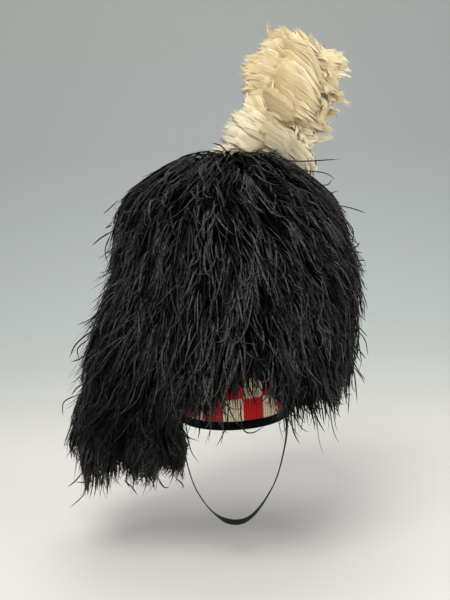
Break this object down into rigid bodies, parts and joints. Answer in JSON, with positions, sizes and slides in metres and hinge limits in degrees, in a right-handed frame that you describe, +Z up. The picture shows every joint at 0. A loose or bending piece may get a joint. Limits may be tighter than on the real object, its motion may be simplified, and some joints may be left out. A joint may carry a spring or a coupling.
{
  "type": "feather bonnet",
  "caption": "Tall hollow military cap covered in black ostrich plumes, with side tails, a cream hackle, a diced knitted band and a narrow chin strap; worn on the head.",
  "frame": {"origin": "middle of the rim's opening, in the plane of the binding's lower edge, where the head goes in", "axes": "+Z up through the crown; -Y the way the wearer faces; +X the wearer's left, the hackle's side"},
  "size_m": [0.4359, 0.3725, 0.6781],
  "materials": {
    "cap_cloth": "matte",
    "diced_knit": "matte",
    "binding_ribbon": "satin",
    "black_feather": "satin",
    "cream_feather": "matte",
    "stem_wire": "satin",
    "strap_leather": "satin"
  },
  "bodies": {
    "root": {"cap": "cap_cloth", "diced_band": "diced_knit", "rim_binding": "binding_ribbon", "crown_plumage": "black_feather", "tail_outer_back": "black_feather", "tail_outer_front": "black_feather", "tail_middle": "black_feather", "tail_inner_front": "black_feather", "tail_inner_back": "black_feather", "hackle_stem": "stem_wire", "hackle": "cream_feather", "chin_strap": "strap_leather"}
  },
  "joints": []
}
